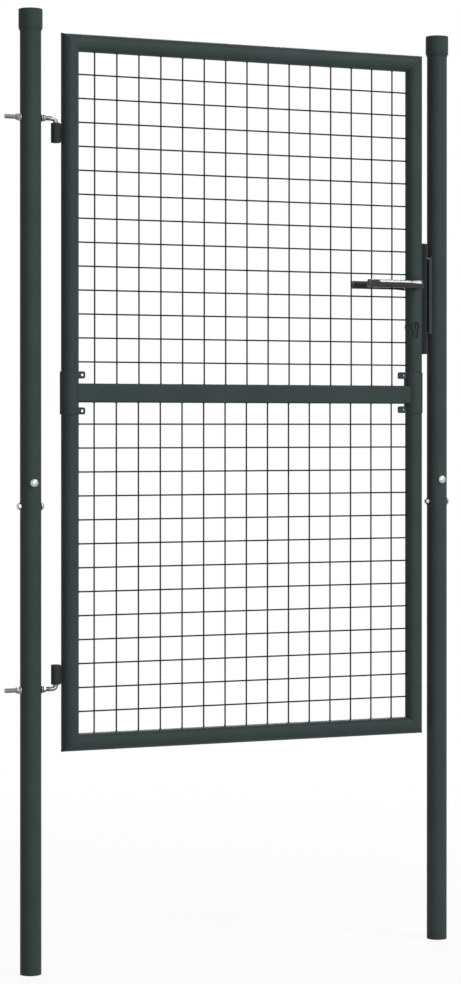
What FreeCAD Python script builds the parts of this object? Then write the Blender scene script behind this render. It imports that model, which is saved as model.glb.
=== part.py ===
import FreeCAD, Part
import math
import os

# Garden gate of round steel tube with welded wire mesh, two posts, a leaf and a lever lock.
# Lengths are in millimetres. X runs from the hinge post to the latch post, Y away from
# the front, Z up. The origin is the centre of the hinge post's foot.

# Posts: each one is two equal tubes, joined over an inner sleeve
post_diameter = 44.3
post_wall = 1.8
post_half_length = 994.0
sleeve_length = 170.0
sleeve_wall = 2.0
sleeve_clearance = 0.3

# Post caps
cap_diameter = 50.1
cap_skirt_length = 29.2
cap_crown_height = 10.7
cap_crown_bevel = 0.6
cap_lip_length = 4.0
cap_lip_wall = 1.2
cap_clearance = 0.3

# Bolts of the post joint, one from the front and one from the side
joint_bolt_diameter = 8.0
joint_bolt_offset = 24.2
joint_head_diameter = 18.0
joint_head_height = 6.5
joint_nut_flats = 13.0
joint_nut_height = 5.0
joint_nut_dome_diameter = 12.0
joint_nut_dome_height = 3.4
dome_steps = 3
dome_top_share = 0.33
round_sides = 16
bolt_hole_clearance = 0.3
seat_gap = 0.1

# Leaf frame
frame_tube_diameter = 37.2
frame_tube_wall = 1.5
hinge_stile_x = 86.7
leaf_axis_width = 809.4
top_rail_drop = 53.1
upper_panel_height = 730.1
lower_panel_height = 728.6
mid_rail_tall = 40.0
mid_rail_deep = 30.0
mid_rail_corner = 6.0
weld_gap = 0.3

# Wire mesh
wire_diameter = 3.3
mesh_pitch = 50.0
mesh_side_margin = 25.0
mesh_end_margin = 25.0
first_row_offset = 65.0

# Collars that clamp the two halves of each stile at the middle rail
collar_length = 90.0
collar_sheet = 2.3
collar_bevel = 1.2
collar_window_start = 7.0
collar_side_start = 14.4
latch_collar_rise = 4.6
ear_setback = 5.0
ear_sheet = 3.0
ear_height = 15.0
ear_corner = 4.0
hinge_ear_reach = 31.8
latch_ear_reach = 41.6
ear_hole_reach = 25.6
ear_hole_diameter = 6.0

# Hinges: bent bolts through the hinge post, and barrels on short webs welded to the leaf
hinge_rod_diameter = 10.0
hinge_pin_x = 55.2
hinge_rod_back_length = 56.5
hinge_bend_radius = 8.0
hinge_pin_recess = 3.0
upper_hinge_drop = 160.4
lower_hinge_rise = 113.1
hinge_barrel_diameter = 20.0
hinge_barrel_length = 41.5
hinge_barrel_drop = 8.8
hinge_web_thickness = 8.0
hinge_web_inset = 2.0
hinge_running_clearance = 0.05
hinge_nut_flats = 13.0
hinge_nut_height = 9.6
hinge_flange_diameter = 17.5
hinge_flange_edge = 1.2
hinge_flange_height = 6.0
nut_thread_clearance = 0.05

# Lock in the latch stile
lock_height = 243.7
lock_below_spindle = 152.2
lock_box_depth = 24.0
lock_box_reach = 24.4
forend_thickness = 2.9
case_depth = 16.0
case_height = 176.0
case_back_reach = 14.4
lock_backset = 31.9
spindle_rise = 242.2
cylinder_drop = 92.0
spindle_side = 8.0
latch_bolt_height = 34.0
dead_bolt_height = 42.0
bolt_thickness = 12.0
bolt_clearance = 0.3
latch_bolt_offset = -10.0
dead_bolt_offset = -72.0

# Profile cylinder
cylinder_diameter = 17.0
cylinder_stem_width = 10.0
cylinder_total_height = 33.0
cylinder_half_length = 17.0
cylinder_case_clearance = 0.3
keyhole_clearance = 1.2
key_slot_width = 1.6
key_slot_height = 9.0
key_slot_depth = 2.5

# Lever handles
lever_neck_diameter = 16.0
lever_neck_clearance = 0.5
lever_centre_out = 39.5
lever_depth = 10.0
lever_length = 128.0
lever_root_height = 22.0
lever_bar_height = 17.6
lever_root_flare = 36.0
lever_edge_bevel = 3.0
lever_bend_radius = 9.0
lever_tip_radius = 3.0
flare_steps = 4
neck_seat_depth = 5.0
spindle_clearance = 0.05

# Strike on the latch post
strike_height = 173.4
strike_below_spindle = 109.4
strike_depth = 24.0
strike_gap = 5.2
strike_standoff = 25.9
strike_sheet = 2.5
strike_edge_radius = 2.0
strike_end_bevel = 6.0
stop_lip_overlap = 9.0
stop_lip_gap = 5.0
pocket_width = 15.0
pocket_margin = 6.0

# Derived sizes
post_radius = post_diameter / 2
post_bore = post_radius - post_wall
post_top = 2 * post_half_length
tube_radius = frame_tube_diameter / 2
tube_bore = tube_radius - frame_tube_wall
top_rail_height = post_top - top_rail_drop
mid_rail_height = top_rail_height - upper_panel_height
bottom_rail_height = mid_rail_height - lower_panel_height
upper_hinge_height = top_rail_height - upper_hinge_drop
lower_hinge_height = bottom_rail_height + lower_hinge_rise
latch_stile_x = hinge_stile_x + leaf_axis_width
leaf_middle_x = hinge_stile_x + leaf_axis_width / 2
forend_face_x = latch_stile_x + lock_box_reach + forend_thickness
lock_axis_x = forend_face_x - lock_backset
spindle_height = mid_rail_height + spindle_rise
lock_bottom = spindle_height - lock_below_spindle
strike_bottom = spindle_height - strike_below_spindle
cylinder_height = spindle_height - cylinder_drop
strike_face_x = forend_face_x + strike_gap
latch_post_x = strike_face_x + strike_standoff
hinge_rod_radius = hinge_rod_diameter / 2

AXIS_X = FreeCAD.Vector(1, 0, 0)
AXIS_Y = FreeCAD.Vector(0, 1, 0)
AXIS_Z = FreeCAD.Vector(0, 0, 1)


def point(x, y, z):
    return FreeCAD.Vector(x, y, z)


def save(shape, name):
    shape = shape.removeSplitter()
    if not shape.isValid():
        raise ValueError("bad shape: " + name)
    shape.exportStep("parts/" + name + ".step")
    print(name, len(shape.Solids), round(shape.Volume))


def rod(start, direction, length, radius):
    return Part.makeCylinder(radius, length, start, direction)


def tube(start, direction, length, outer, inner):
    return rod(start, direction, length, outer).cut(rod(start, direction, length, inner))


def block(x0, x1, y0, y1, z0, z1):
    return Part.makeBox(x1 - x0, y1 - y0, z1 - z0, point(x0, y0, z0))


def turned(profile, centre, axis):
    """Solid of revolution of (radius, distance) points about an axis through the centre."""
    points = [point(r, 0, d) for r, d in profile]
    face = Part.Face(Part.makePolygon(points + points[:1]))
    solid = face.revolve(point(0, 0, 0), AXIS_Z, 360)
    solid.Placement = FreeCAD.Placement(centre, FreeCAD.Rotation(AXIS_Z, axis))
    return solid


def skinned(rings):
    """Flat-sided solid between rings of equally many points, whose facing edges are parallel."""
    outlines = [list(reversed(rings[0])), rings[-1]]
    for near, far in zip(rings, rings[1:]):
        for i in range(len(near)):
            j = (i + 1) % len(near)
            outlines.append([near[i], near[j], far[j], far[i]])
    shell = Part.makeShell([Part.Face(Part.makePolygon(o + o[:1])) for o in outlines])
    shell.sewShape()
    solid = Part.makeSolid(shell)
    if solid.Volume < 0:
        solid.reverse()
    return solid


def few_sided(profile, base, direction):
    """Solid like a turned one but with a few flat sides, of (radius, distance) points."""
    sideways = AXIS_Z if abs(direction.z) < 0.5 else AXIS_X
    over = direction.cross(sideways)
    rings = []
    for radius, distance in profile:
        ring = []
        for i in range(round_sides):
            angle = math.tau * (i + 0.5) / round_sides
            across = sideways * (radius * math.cos(angle)) + over * (radius * math.sin(angle))
            ring.append(base + direction * distance + across)
        rings.append(ring)
    return skinned(rings)


def edges_along(shape, x, axis):
    """Straight edges of a shape that lie at one place along X and run along an axis."""
    found = []
    for edge in shape.Edges:
        ends = [v.Point for v in edge.Vertexes]
        if len(ends) == 2 and all(abs(p.x - x) < 1e-6 for p in ends):
            if abs((ends[1] - ends[0]).dot(axis)) > 1:
                found.append(edge)
    return found


def hexagon_bar(start, direction, length, across_flats, flat_normal):
    """Six-sided bar with one pair of its flats square to flat_normal."""
    side_step = direction.cross(flat_normal)
    radius = across_flats / math.sqrt(3)
    corners = []
    for i in range(6):
        angle = math.radians(60 * i)
        sideways = side_step * (radius * math.cos(angle))
        corners.append(start + sideways + flat_normal * (radius * math.sin(angle)))
    return Part.Face(Part.makePolygon(corners + corners[:1])).extrude(direction * length)


def rounded_rectangle(centre, along, across, width, height, radius):
    """Wire of a rectangle with round corners, drawn in the plane of two unit vectors."""
    half_w = width / 2
    half_h = height / 2
    edges = []
    corner_signs = [(1, 1), (-1, 1), (-1, -1), (1, -1)]
    stops = []
    for i, (sx, sy) in enumerate(corner_signs):
        middle = centre + along * (sx * (half_w - radius)) + across * (sy * (half_h - radius))
        turn = math.radians(90 * i)
        arc_points = []
        for part_turn in (0, 45, 90):
            a = turn + math.radians(part_turn)
            arc_points.append(middle + along * (radius * math.cos(a)) + across * (radius * math.sin(a)))
        stops.append(arc_points)
    for i, arc_points in enumerate(stops):
        edges.append(Part.Arc(*arc_points).toShape())
        edges.append(Part.LineSegment(arc_points[2], stops[(i + 1) % 4][0]).toShape())
    return Part.Wire(edges)


# Posts

def post_tube(x, bottom):
    return tube(point(x, 0, bottom), AXIS_Z, post_half_length, post_radius, post_bore)


def post_sleeve(x):
    outer = post_bore - sleeve_clearance
    bottom = post_half_length - sleeve_length / 2
    return tube(point(x, 0, bottom), AXIS_Z, sleeve_length, outer, outer - sleeve_wall)


def joint_bolt_hole(x, z, direction):
    radius = joint_bolt_diameter / 2 + bolt_hole_clearance
    return rod(point(x, 0, z) - direction * post_radius * 2, direction, post_radius * 4, radius)


def dome(base, direction, radius, height):
    """Low dome in a few straight steps from its rim to a small flat top."""
    top_radius = radius * dome_top_share
    centre_depth = (radius ** 2 - top_radius ** 2 - height ** 2) / (2 * height)
    sphere_radius = math.hypot(radius, centre_depth)
    rim_angle = math.asin(radius / sphere_radius)
    top_angle = math.asin(top_radius / sphere_radius)
    outline = []
    for step in range(dome_steps):
        angle = rim_angle + (top_angle - rim_angle) * step / (dome_steps - 1)
        outline.append((sphere_radius * math.sin(angle), sphere_radius * math.cos(angle) - centre_depth))
    return few_sided(outline, base, direction)


def joint_bolt(x, z, direction):
    """Round-headed bolt through the post with a domed nut; its head looks against direction."""
    axis_point = point(x, 0, z)
    seat = post_radius + seat_gap
    head_base = axis_point - direction * seat
    nut_base = axis_point + direction * seat
    shank = rod(head_base, direction, 2 * seat + joint_nut_height, joint_bolt_diameter / 2)
    head = dome(head_base, direction * -1, joint_head_diameter / 2, joint_head_height)
    nut = hexagon_bar(nut_base, direction, joint_nut_height, joint_nut_flats, direction.cross(AXIS_Z))
    nut_dome_base = nut_base + direction * joint_nut_height
    nut_dome = dome(nut_dome_base, direction, joint_nut_dome_diameter / 2, joint_nut_dome_height)
    return shank.fuse([head, nut, nut_dome])


def post_cap(x):
    outer = cap_diameter / 2
    bore = post_radius + cap_clearance
    ceiling = post_top + cap_clearance
    top = post_top + cap_crown_height
    skirt_end = post_top - cap_skirt_length
    lip_end = skirt_end - cap_lip_length
    lip = bore + cap_lip_wall
    profile = [
        (0, top), (outer - cap_crown_bevel * 2, top), (outer, top - cap_crown_bevel), (outer, skirt_end),
        (lip, skirt_end), (lip, lip_end), (bore, lip_end), (bore, ceiling), (0, ceiling),
    ]
    return turned(profile, point(x, 0, 0), AXIS_Z)


def strike_pockets(depth_from, depth_to):
    """Blocks of the two pockets that take the latch bolt and the dead bolt."""
    pockets = []
    for offset, height in ((latch_bolt_offset, latch_bolt_height), (dead_bolt_offset, dead_bolt_height)):
        low = spindle_height + offset - height / 2 - pocket_margin
        high = spindle_height + offset + height / 2 + pocket_margin
        pockets.append(block(depth_from, depth_to, -pocket_width / 2, pocket_width / 2, low, high))
    return pockets


def strike():
    """Channel saddled on the latch post, with two pockets and a stop lip at the back."""
    half = strike_depth / 2
    top = strike_bottom + strike_height
    body = block(strike_face_x, latch_post_x, -half, half, strike_bottom, top)
    body = body.makeChamfer(strike_end_bevel, edges_along(body, strike_face_x, AXIS_Y))
    body = body.makeFillet(strike_edge_radius, edges_along(body, strike_face_x, AXIS_Z))
    lip_front = half + stop_lip_gap
    lip_end = forend_face_x - stop_lip_overlap
    lip_root = strike_face_x + strike_sheet
    lip = block(lip_end, lip_root + strike_sheet, lip_front, lip_front + strike_sheet, strike_bottom, top)
    web = block(lip_root, lip_root + strike_sheet, half - strike_sheet, lip_front + strike_sheet,
                strike_bottom, top)
    body = body.fuse([lip, web])
    post = rod(point(latch_post_x, 0, strike_bottom - 1), AXIS_Z, strike_height + 2, post_radius + weld_gap)
    body = body.cut(post)
    return body.cut(strike_pockets(strike_face_x - 1, latch_post_x))


# Hinges

def hinge_rod_path(height, pin_side):
    """Line of a bent bolt: along X through the post, round the bend, then down or up the pin."""
    bend_start = point(hinge_pin_x - hinge_bend_radius, 0, height)
    bend_end = point(hinge_pin_x, 0, height + pin_side * hinge_bend_radius)
    slant = hinge_bend_radius * (1 - math.sqrt(0.5))
    bend_middle = point(hinge_pin_x - slant, 0, height + pin_side * slant)
    pin_length = hinge_barrel_drop + hinge_barrel_length - hinge_pin_recess
    pin_end = point(hinge_pin_x, 0, height + pin_side * pin_length)
    back_end = point(-hinge_rod_back_length, 0, height)
    return Part.Wire([
        Part.LineSegment(back_end, bend_start).toShape(),
        Part.Arc(bend_start, bend_middle, bend_end).toShape(),
        Part.LineSegment(bend_end, pin_end).toShape(),
    ])


def hinge_bolt(height, pin_side):
    start = point(-hinge_rod_back_length, 0, height)
    section = Part.Wire(Part.makeCircle(hinge_rod_radius, start, AXIS_X))
    return hinge_rod_path(height, pin_side).makePipeShell([section], True, True)


def flange_nut(seat, outward):
    """Six-sided nut that widens into a round flange at its seat."""
    rim = hinge_flange_diameter / 2
    flat = hinge_nut_flats / 2
    cone_top = hinge_flange_height
    flange = few_sided([(rim, 0), (rim, hinge_flange_edge), (flat, cone_top)], seat, outward)
    body = hexagon_bar(seat, outward, hinge_nut_height, hinge_nut_flats, AXIS_Z)
    bore = rod(seat, outward, hinge_nut_height, hinge_rod_radius + nut_thread_clearance)
    return flange.fuse(body).cut(bore)


def hinge_nuts(height):
    """The two nuts that clamp the hinge post, one on each side."""
    nuts = []
    for side in (-1, 1):
        nuts.append(flange_nut(point(side * (post_radius + seat_gap), 0, height), AXIS_X * side))
    return Part.makeCompound(nuts)


def hinge_barrel(height, pin_side):
    """Barrel for the pin, on a web that ends at the stile."""
    bottom = height + hinge_barrel_drop
    if pin_side < 0:
        bottom = height - hinge_barrel_drop - hinge_barrel_length
    half_web = hinge_web_thickness / 2
    web_bottom = bottom + hinge_web_inset
    web_top = bottom + hinge_barrel_length - hinge_web_inset
    web = block(hinge_pin_x, hinge_stile_x, -half_web, half_web, web_bottom, web_top)
    stile = rod(point(hinge_stile_x, 0, bottom), AXIS_Z, hinge_barrel_length, tube_radius + weld_gap)
    barrel_foot = point(hinge_pin_x, 0, bottom)
    barrel = rod(barrel_foot, AXIS_Z, hinge_barrel_length, hinge_barrel_diameter / 2)
    bore = rod(barrel_foot, AXIS_Z, hinge_barrel_length, hinge_rod_radius + hinge_running_clearance)
    return barrel.fuse(web.cut(stile)).cut(bore)


def hinge_rod_hole(height):
    radius = hinge_rod_radius + bolt_hole_clearance
    return rod(point(-post_radius * 2, 0, height), AXIS_X, post_radius * 4, radius)


# Leaf frame

def mitre_wedge(corner, outward_x, outward_z, keep_rail):
    """Prism that takes one half of a corner away along its 45 degree mitre."""
    reach = frame_tube_diameter * 2
    inner = corner + point(-outward_x * reach, 0, -outward_z * reach)
    outer = corner + point(outward_x * reach, 0, outward_z * reach)
    side = point(outward_x * reach, 0, -outward_z * reach)
    if not keep_rail:
        side = side * -1
    face = Part.Face(Part.makePolygon([inner, outer, outer + side, inner + side, inner]))
    face.translate(point(0, -reach, 0))
    return face.extrude(point(0, 2 * reach, 0))


def outer_rail(height, outward_z):
    start = point(hinge_stile_x - tube_radius, 0, height)
    rail = tube(start, AXIS_X, leaf_axis_width + 2 * tube_radius, tube_radius, tube_bore)
    for x, outward_x in ((hinge_stile_x, -1), (latch_stile_x, 1)):
        rail = rail.cut(mitre_wedge(point(x, 0, height), outward_x, outward_z, True))
    return rail


def half_stile(x, outward_x, rail_height, outward_z):
    """Upright tube from the middle of the leaf to a mitred corner."""
    low = min(mid_rail_height, rail_height + outward_z * tube_radius)
    high = max(mid_rail_height, rail_height + outward_z * tube_radius)
    stile = tube(point(x, 0, low), AXIS_Z, high - low, tube_radius, tube_bore)
    return stile.cut(mitre_wedge(point(x, 0, rail_height), outward_x, outward_z, False))


def mid_rail():
    start = point(hinge_stile_x, 0, mid_rail_height)
    outer = rounded_rectangle(start, AXIS_Y, AXIS_Z, mid_rail_deep, mid_rail_tall, mid_rail_corner)
    inner = rounded_rectangle(start, AXIS_Y, AXIS_Z, mid_rail_deep - 2 * frame_tube_wall,
                              mid_rail_tall - 2 * frame_tube_wall, mid_rail_corner - frame_tube_wall)
    length = AXIS_X * leaf_axis_width
    rail = Part.Face(outer).extrude(length).cut(Part.Face(inner).extrude(length))
    for x in (hinge_stile_x, latch_stile_x):
        foot = point(x, 0, mid_rail_height - mid_rail_tall)
        rail = rail.cut(rod(foot, AXIS_Z, 2 * mid_rail_tall, tube_radius + weld_gap))
    return rail


def wire_mesh(panel_height, away, upright_side):
    """Welded mesh between the middle rail and an outer one, which lies away (1 up, -1 down).

    The upright wires are on one side of the cross wires, and touch them along a flat.
    """
    half_wire = wire_diameter / 2
    rail_end = mid_rail_tall / 2 + weld_gap
    reach = tube_radius + weld_gap
    upright_length = panel_height - rail_end - reach
    cross_length = leaf_axis_width - 2 * reach
    column_steps = int((cross_length - 2 * mesh_side_margin) / mesh_pitch)
    row_steps = int((panel_height - first_row_offset - reach - mesh_end_margin) / mesh_pitch)
    bars = []
    for column in range(column_steps + 1):
        x = leaf_middle_x + mesh_pitch * (column - column_steps / 2)
        start = point(x, upright_side * half_wire, mid_rail_height + away * rail_end)
        bars.append(hexagon_bar(start, AXIS_Z * away, upright_length, wire_diameter, AXIS_Y))
    for row in range(row_steps + 1):
        z = mid_rail_height + away * (first_row_offset + row * mesh_pitch)
        start = point(hinge_stile_x + reach, -upright_side * half_wire, z)
        bars.append(hexagon_bar(start, AXIS_X, cross_length, wire_diameter, AXIS_Y))
    return bars[0].multiFuse(bars[1:])


def collar(x, inward, middle, ear_reach, openings):
    """Sheet collar round a stile with two ears; the openings are what is left out of the sheet."""
    inner = tube_radius + weld_gap
    outer = inner + collar_sheet
    half = collar_length / 2
    profile = [
        (inner, -half), (outer - collar_bevel, -half), (outer, -half + collar_bevel),
        (outer, half - collar_bevel), (outer - collar_bevel, half), (inner, half),
    ]
    shell = turned(profile, point(x, 0, middle), AXIS_Z).cut(openings)
    for ear_z in (middle - half + ear_height / 2, middle + half - ear_height / 2):
        shell = shell.fuse(collar_ear(x, inward, ear_z, ear_reach))
    return shell


def hinge_collar_openings():
    """Window that leaves a narrow band at each ear, and the mouth behind the ears."""
    reach = frame_tube_diameter
    half = collar_length / 2
    half_window = half - ear_height
    window = block(hinge_stile_x + collar_window_start, hinge_stile_x + reach, -reach, reach,
                   mid_rail_height - half_window, mid_rail_height + half_window)
    mouth = block(hinge_stile_x, hinge_stile_x + reach, -ear_setback + ear_sheet / 2, reach,
                  mid_rail_height - half, mid_rail_height + half)
    return [window, mouth]


def latch_collar_openings():
    """Slot that the middle rail passes through, and the open side towards the latch post."""
    reach = frame_tube_diameter
    half_deep = mid_rail_deep / 2 + weld_gap
    half_tall = mid_rail_tall / 2 + weld_gap
    slot = block(latch_stile_x - reach, latch_stile_x, -half_deep, half_deep,
                 mid_rail_height - half_tall, mid_rail_height + half_tall)
    side = block(latch_stile_x + collar_side_start, latch_stile_x + reach, -reach, reach,
                 mid_rail_height - collar_length, mid_rail_height + collar_length)
    return [slot, side]


def collar_ear(x, inward, z, ear_reach):
    """Flat ear with two round corners and a hole, standing inward from the front edge of a band."""
    front = -ear_setback - ear_sheet / 2
    back = front + ear_sheet
    root = math.sqrt((tube_radius + weld_gap) ** 2 - back * back)
    ends = sorted((x + inward * root, x + inward * ear_reach))
    plate = block(ends[0], ends[1], front, back, z - ear_height / 2, z + ear_height / 2)
    plate = plate.makeFillet(ear_corner, edges_along(plate, x + inward * ear_reach, AXIS_Y))
    hole_start = point(x + inward * ear_hole_reach, front, z)
    return plate.cut(rod(hole_start, AXIS_Y, ear_sheet, ear_hole_diameter / 2))


# Lock

def lock_middle():
    return lock_bottom + lock_height / 2


def case_block(clearance):
    """Slim case inside the stile, passing out through its slot to the box."""
    half = case_depth / 2 + clearance
    middle = lock_middle()
    return block(latch_stile_x - case_back_reach, latch_stile_x + lock_box_reach, -half, half,
                 middle - case_height / 2 - clearance, middle + case_height / 2 + clearance)


def lock_case():
    half = lock_box_depth / 2
    top = lock_bottom + lock_height
    outer_box = block(latch_stile_x, latch_stile_x + lock_box_reach, -half, half, lock_bottom, top)
    stile = rod(point(latch_stile_x, 0, lock_bottom - 1), AXIS_Z, lock_height + 2, tube_radius + weld_gap)
    case = outer_box.cut(stile).fuse(case_block(0))
    follower = rod(point(lock_axis_x, -half, spindle_height), AXIS_Y, lock_box_depth,
                   lever_neck_diameter / 2 + lever_neck_clearance)
    return case.cut([follower, profile_prism(cylinder_case_clearance, lock_box_depth)])


def profile_prism(clearance, reach):
    """Key cylinder outline, grown by a clearance: a round head over a narrow round-ended stem."""
    head_radius = cylinder_diameter / 2 + clearance
    stem_radius = cylinder_stem_width / 2 + clearance
    stem_foot = cylinder_height - (cylinder_total_height - cylinder_diameter / 2 - cylinder_stem_width / 2)
    head = rod(point(lock_axis_x, -reach, cylinder_height), AXIS_Y, 2 * reach, head_radius)
    foot = rod(point(lock_axis_x, -reach, stem_foot), AXIS_Y, 2 * reach, stem_radius)
    stem = block(lock_axis_x - stem_radius, lock_axis_x + stem_radius, -reach, reach,
                 stem_foot, cylinder_height)
    return head.fuse([foot, stem])


def lock_cylinder():
    body = profile_prism(0, cylinder_half_length)
    for side in (-1, 1):
        face_y = side * cylinder_half_length
        ends = sorted((face_y, face_y - side * key_slot_depth))
        slot = block(lock_axis_x - key_slot_width / 2, lock_axis_x + key_slot_width / 2, ends[0], ends[1],
                     cylinder_height - key_slot_height / 2, cylinder_height + key_slot_height / 2)
        body = body.cut(slot)
    return body


def bolt_block(offset, height, clearance):
    half = bolt_thickness / 2 + clearance
    back = latch_stile_x + lock_box_reach
    middle = spindle_height + offset
    reach = height / 2 + clearance
    return block(back, forend_face_x, -half, half, middle - reach, middle + reach)


def forend_plate():
    half = lock_box_depth / 2
    back = latch_stile_x + lock_box_reach
    plate = block(back, forend_face_x, -half, half, lock_bottom, lock_bottom + lock_height)
    latch_hole = bolt_block(latch_bolt_offset, latch_bolt_height, bolt_clearance)
    dead_bolt_hole = bolt_block(dead_bolt_offset, dead_bolt_height, bolt_clearance)
    return plate.cut([latch_hole, dead_bolt_hole])


def lock_openings_in_stile():
    """Cuts in the latch stile: the slot for the case, the neck holes and the keyholes."""
    neck = rod(point(lock_axis_x, -post_diameter, spindle_height), AXIS_Y, 2 * post_diameter,
               lever_neck_diameter / 2 + lever_neck_clearance)
    slot = case_block(weld_gap)
    slot.translate(point(case_back_reach, 0, 0))
    return [neck, slot, profile_prism(keyhole_clearance, frame_tube_diameter)]


# Handle

def lever_section(x, middle_y, height):
    """Outline across the arm: a rectangle with bevelled corners."""
    half_depth = lever_depth / 2
    half_height = height / 2
    shallow = half_depth - lever_edge_bevel
    low = half_height - lever_edge_bevel
    corners = [
        (half_depth, low), (shallow, half_height), (-shallow, half_height), (-half_depth, low),
        (-half_depth, -low), (-shallow, -half_height), (shallow, -half_height), (half_depth, -low),
    ]
    return [point(x, middle_y + across, spindle_height + up) for across, up in corners]


def lever_arm(root_x, tip_x, middle_y):
    """Bar that swells towards its root."""
    rings = []
    for step in range(flare_steps + 1):
        share = step / flare_steps
        height = lever_bar_height + (lever_root_height - lever_bar_height) * (1 - share) ** 2
        rings.append(lever_section(root_x - lever_root_flare * share, middle_y, height))
    rings.append(lever_section(tip_x, middle_y, lever_bar_height))
    return skinned(rings)


def arm_envelope(root_x, tip_x, inner_y, outer_y):
    """Block round the arm with its outer corners rounded as seen from above: the bend and the tip."""
    half = lever_root_height
    low_y = min(inner_y, outer_y)
    high_y = max(inner_y, outer_y)
    envelope = block(tip_x, root_x, low_y, high_y, spindle_height - half, spindle_height + half)
    for x, radius in ((root_x, lever_bend_radius), (tip_x, lever_tip_radius)):
        corners = [e for e in edges_along(envelope, x, AXIS_Z) if abs(e.Vertexes[0].Y - outer_y) < 1e-6]
        envelope = envelope.makeFillet(radius, corners)
    return envelope


def lever(side):
    """One lever: a round neck that turns into a flared arm."""
    seat = side * (tube_radius - neck_seat_depth)
    middle_y = side * lever_centre_out
    inner_y = middle_y - side * lever_depth / 2
    outer_y = middle_y + side * lever_depth / 2
    root_x = lock_axis_x + lever_neck_diameter / 2
    tip_x = lock_axis_x - lever_length
    neck_length = abs(outer_y - seat) - lever_bend_radius
    neck = rod(point(lock_axis_x, seat, spindle_height), AXIS_Y * side, neck_length, lever_neck_diameter / 2)
    arm = lever_arm(root_x, tip_x, middle_y).common(arm_envelope(root_x, tip_x, inner_y, outer_y))
    return neck.fuse(arm).cut(spindle_bar(spindle_clearance))


def spindle_bar(clearance):
    half = spindle_side / 2 + clearance
    reach = lever_centre_out - lever_depth / 2 + clearance
    low = spindle_height - half
    return block(lock_axis_x - half, lock_axis_x + half, -reach, reach, low, low + 2 * half)


def build_posts():
    side_z = post_half_length - joint_bolt_offset
    front_z = post_half_length + joint_bolt_offset
    hinge_cuts = ([hinge_rod_hole(lower_hinge_height)], [hinge_rod_hole(upper_hinge_height)])
    latch_cuts = ([], strike_pockets(strike_face_x, latch_post_x))
    for x, name, cuts in ((0, "hinge_post", hinge_cuts), (latch_post_x, "latch_post", latch_cuts)):
        side_hole = joint_bolt_hole(x, side_z, AXIS_X)
        front_hole = joint_bolt_hole(x, front_z, AXIS_Y)
        save(post_tube(x, 0).cut(cuts[0] + [side_hole]), name + "_lower")
        save(post_tube(x, post_half_length).cut(cuts[1] + [front_hole]), name + "_upper")
        save(post_sleeve(x).cut([side_hole, front_hole]), name + "_sleeve")
        save(post_cap(x), name + "_cap")
        save(joint_bolt(x, front_z, AXIS_Y), name + "_front_bolt")
        save(joint_bolt(x, side_z, AXIS_X * -1), name + "_side_bolt")
    save(strike(), "strike")


def build_hinges():
    for name, height, pin_side in (("upper", upper_hinge_height, -1), ("lower", lower_hinge_height, 1)):
        save(hinge_bolt(height, pin_side), name + "_hinge_bolt")
        save(hinge_nuts(height), name + "_hinge_nuts")
        save(hinge_barrel(height, pin_side), name + "_hinge_barrel")


def build_leaf():
    save(outer_rail(top_rail_height, 1), "top_rail")
    save(outer_rail(bottom_rail_height, -1), "bottom_rail")
    save(mid_rail(), "mid_rail")
    save(half_stile(hinge_stile_x, -1, top_rail_height, 1), "upper_hinge_stile")
    save(half_stile(hinge_stile_x, -1, bottom_rail_height, -1), "lower_hinge_stile")
    lock_stile = half_stile(latch_stile_x, 1, top_rail_height, 1)
    save(lock_stile.cut(lock_openings_in_stile()), "upper_latch_stile")
    save(half_stile(latch_stile_x, 1, bottom_rail_height, -1), "lower_latch_stile")
    hinge_side = collar(hinge_stile_x, 1, mid_rail_height, hinge_ear_reach, hinge_collar_openings())
    save(hinge_side, "hinge_side_collar")
    latch_middle = mid_rail_height + latch_collar_rise
    latch_side = collar(latch_stile_x, -1, latch_middle, latch_ear_reach, latch_collar_openings())
    save(latch_side, "latch_side_collar")
    save(wire_mesh(upper_panel_height, 1, -1), "upper_mesh")
    save(wire_mesh(lower_panel_height, -1, 1), "lower_mesh")


def build_lock():
    save(lock_case(), "lock_case")
    save(forend_plate(), "forend_plate")
    save(bolt_block(latch_bolt_offset, latch_bolt_height, 0), "latch_bolt")
    save(bolt_block(dead_bolt_offset, dead_bolt_height, 0), "dead_bolt")
    save(lock_cylinder(), "lock_cylinder")
    save(lever(-1), "front_lever")
    save(lever(1), "back_lever")
    save(spindle_bar(0), "handle_spindle")


os.makedirs("parts", exist_ok=True)
build_posts()
build_hinges()
build_leaf()
build_lock()
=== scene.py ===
"""Mesh garden gate: finishes, round wires, welds, fasteners, levers and the studio round them."""

import logging
import math
from collections.abc import Callable, Sequence
from dataclasses import KW_ONLY, dataclass, field
from enum import Enum

import bmesh
import bpy
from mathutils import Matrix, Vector


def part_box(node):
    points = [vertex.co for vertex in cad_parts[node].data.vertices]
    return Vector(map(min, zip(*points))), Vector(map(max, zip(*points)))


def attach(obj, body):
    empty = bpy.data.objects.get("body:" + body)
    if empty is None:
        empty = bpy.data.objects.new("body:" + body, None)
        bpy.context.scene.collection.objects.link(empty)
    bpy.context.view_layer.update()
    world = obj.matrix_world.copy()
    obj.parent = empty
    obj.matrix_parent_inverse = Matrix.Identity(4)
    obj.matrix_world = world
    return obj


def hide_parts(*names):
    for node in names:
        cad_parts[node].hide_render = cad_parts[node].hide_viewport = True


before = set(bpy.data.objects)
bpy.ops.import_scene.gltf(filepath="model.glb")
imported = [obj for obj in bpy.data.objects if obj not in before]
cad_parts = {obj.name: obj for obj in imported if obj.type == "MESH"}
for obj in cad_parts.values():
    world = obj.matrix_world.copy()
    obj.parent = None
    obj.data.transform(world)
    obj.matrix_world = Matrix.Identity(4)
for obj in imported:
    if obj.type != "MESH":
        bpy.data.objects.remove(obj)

LOG = logging.getLogger("mesh_gate")
MILLIMETRE = 0.001
MERGE_METRES = 1e-6
LEAST_RADIUS = 0.01
LEAST_SHARE = 1e-6
STEEP = 0.9
QUARTER = math.pi / 2
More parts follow.
